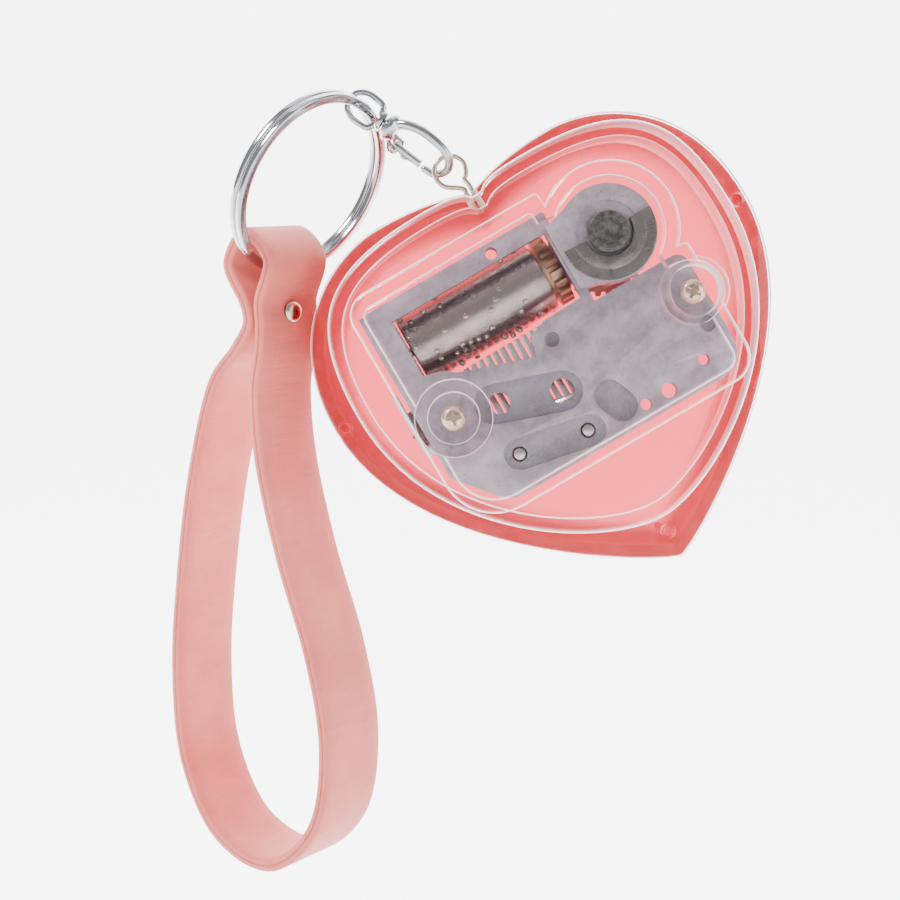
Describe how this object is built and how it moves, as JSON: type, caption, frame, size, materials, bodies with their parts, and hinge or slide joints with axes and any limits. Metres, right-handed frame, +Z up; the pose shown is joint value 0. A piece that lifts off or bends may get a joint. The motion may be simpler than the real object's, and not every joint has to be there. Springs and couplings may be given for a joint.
{
  "type": "heart-shaped cylinder music box",
  "caption": "Wind-up cylinder music movement in a heart-shaped see-through case, hung by an eye and a swivel clasp on a split ring with a leather wrist strap.",
  "frame": {"origin": "middle of the flat back face of the heart-shaped case", "axes": "+Y out of the flat back face, +Z up with the strap hanging down, +X to the right when the front of the case is looked at"},
  "size_m": [0.1023, 0.0511, 0.1325],
  "materials": {
    "clear_plastic": "clear, polished",
    "red_plastic": "translucent red, polished",
    "zinc": "die-cast, bare",
    "nickel": "nickel plated",
    "warm_nickel": "pale gold plated",
    "steel": "bright",
    "dark_steel": "blackened",
    "screw_steel": "yellow passivated",
    "copper": "bare",
    "chrome": "polished",
    "cream_plastic": "moulded",
    "brown_plastic": "moulded",
    "pink_leather": "fine grain, painted edges"
  },
  "bodies": {
    "case": {"front_shell": "clear_plastic", "back_shell": "red_plastic", "case_screw_1": "screw_steel", "case_screw_2": "screw_steel", "base_frame": "zinc", "comb": "steel", "comb_screw_1": "steel", "comb_screw_2": "steel", "arbor_clip": "dark_steel", "governor_bracket": "steel", "eye_loop": "warm_nickel"},
    "winding": {"winding_arbor": "dark_steel", "winding_key": "nickel"},
    "barrel": {"spring_barrel": "steel", "great_wheel": "copper", "mainspring": "steel"},
    "tune": {"cylinder": "nickel", "cylinder_axle": "steel", "cylinder_end_gear": "cream_plastic", "cylinder_drive_gear": "copper"},
    "governor": {"governor_wheel": "steel"},
    "brake": {"worm": "steel", "governor_fly": "brown_plastic"},
    "clasp": {"clasp_body": "chrome", "gate_pin": "chrome"},
    "gate": {"clasp_gate": "chrome"},
    "swivel": {"swivel_loop": "chrome"},
    "ring": {"split_ring": "chrome"},
    "strap": {"wrist_strap": "pink_leather", "strap_rivet": "warm_nickel"}
  },
  "joints": [
    {"name": "winding_turn", "type": "hinge", "parent": "case", "child": "winding", "pos_m": [0.00579, -0.017, 0.01983], "axis": [0, 1, 0], "continuous": true},
    {"name": "barrel_turn", "type": "hinge", "parent": "case", "child": "barrel", "pos_m": [0.00579, -0.017, 0.01983], "axis": [0, 1, 0], "continuous": true},
    {"name": "cylinder_turn", "type": "hinge", "parent": "case", "child": "tune", "pos_m": [-0.00716, -0.015, 0.01226], "axis": [0.8634, 0, 0.5045], "continuous": true},
    {"name": "governor_turn", "type": "hinge", "parent": "case", "child": "governor", "pos_m": [-0.00333, -0.015, 0.0057], "axis": [0.8634, 0, 0.5045], "continuous": true},
    {"name": "brake_turn", "type": "hinge", "parent": "case", "child": "brake", "pos_m": [-0.02182, -0.017, -0.01043], "axis": [0, 1, 0], "continuous": true},
    {"name": "clasp_swing", "type": "hinge", "parent": "case", "child": "clasp", "pos_m": [-0.01923, -0.017, 0.03092], "axis": [0, 1, 0], "range_deg": [-1, 20]},
    {"name": "gate_open", "type": "hinge", "parent": "clasp", "child": "gate", "pos_m": [-0.02818, -0.01537, 0.03546], "axis": [0.4176, 0.7071, 0.5706], "range_deg": [-25, 0], "stiffness_Nm_per_rad": 0.0005},
    {"name": "swivel_turn", "type": "hinge", "parent": "clasp", "child": "swivel", "pos_m": [-0.03343, -0.017, 0.04132], "axis": [-0.807, 0, 0.5906], "range_deg": [-12, 12]},
    {"name": "ring_swing", "type": "hinge", "parent": "swivel", "child": "ring", "pos_m": [-0.03343, -0.017, 0.04132], "axis": [-0.4096, -0.866, 0.2868], "range_deg": [-10, 0]},
    {"name": "strap_swing", "type": "hinge", "parent": "ring", "child": "strap", "pos_m": [-0.04832, -0.01265, 0.01567], "axis": [0.5757, 0.8177, 0], "range_deg": [-2, 30]}
  ],
  "couplings": [
    {"joint": "barrel_turn", "follows": "cylinder_turn", "ratio": 0.71429},
    {"joint": "governor_turn", "follows": "cylinder_turn", "ratio": -4.4444},
    {"joint": "brake_turn", "follows": "cylinder_turn", "ratio": 8.8889}
  ]
}
